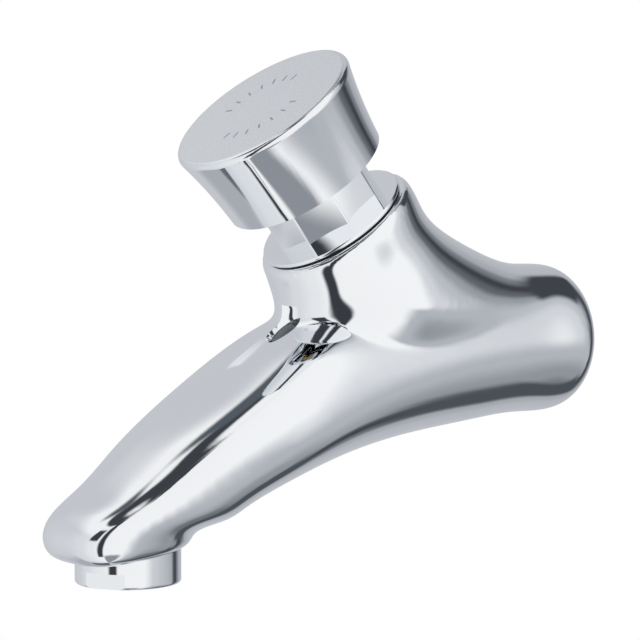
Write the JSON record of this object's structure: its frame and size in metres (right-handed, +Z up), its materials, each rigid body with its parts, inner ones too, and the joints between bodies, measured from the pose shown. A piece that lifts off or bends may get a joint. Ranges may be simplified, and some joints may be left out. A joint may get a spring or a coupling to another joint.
{
  "type": "wall-mounted self-closing push tap",
  "caption": "Wall tap with a tapered push button on a tilted neck, a curved one-piece spout and an aerator; pressing opens a time-delay valve.",
  "frame": {"origin": "centre of the wall face, on the axis of the threaded inlet", "axes": "+Z up, -Y out of the wall along the spout, +X to the right of someone who looks along +Y at the tap"},
  "size_m": [0.0462, 0.1467, 0.1206],
  "materials": {
    "chromed_brass": "polished chrome plate on brass",
    "brass": "turned",
    "stainless": "drawn and stamped",
    "acetal": "moulded, natural white",
    "rubber": "moulded, black",
    "index": "glossy, dark slate"
  },
  "bodies": {
    "tap": {"tap_body": "chromed_brass", "bonnet": "chromed_brass", "aerator_shell": "chromed_brass", "valve_seat": "brass", "return_spring": "stainless", "aerator_screens": "stainless", "inlet_strainer": "stainless", "cartridge_housing": "acetal", "stem_bush": "acetal", "flow_disc": "acetal", "aerator_insert": "acetal", "bonnet_gasket": "rubber", "stem_ring": "rubber", "housing_ring": "rubber", "seat_gasket": "rubber", "aerator_gasket": "rubber", "inlet_washer": "rubber", "index_plug": "index"},
    "piston_unit": {"piston": "acetal", "lip_seal": "rubber", "backing_washer": "stainless"},
    "button": {"push_cap": "chromed_brass", "lock_nut": "brass", "stem": "brass", "stem_circlip": "stainless", "washer_holder": "brass", "valve_washer": "rubber", "tip_nut": "brass"}
  },
  "joints": [
    {"name": "button_press", "type": "slide", "parent": "tap", "child": "piston_unit", "axis": [0, 0.6088, -0.7934], "range_m": [0, 0.006], "stiffness_N_per_m": 1200, "springref_m": -0.005, "deforming": ["return_spring"]},
    {"name": "button_turn", "type": "hinge", "parent": "piston_unit", "child": "button", "pos_m": [0, -0.048, 0], "axis": [0, -0.6088, 0.7934], "continuous": true}
  ]
}
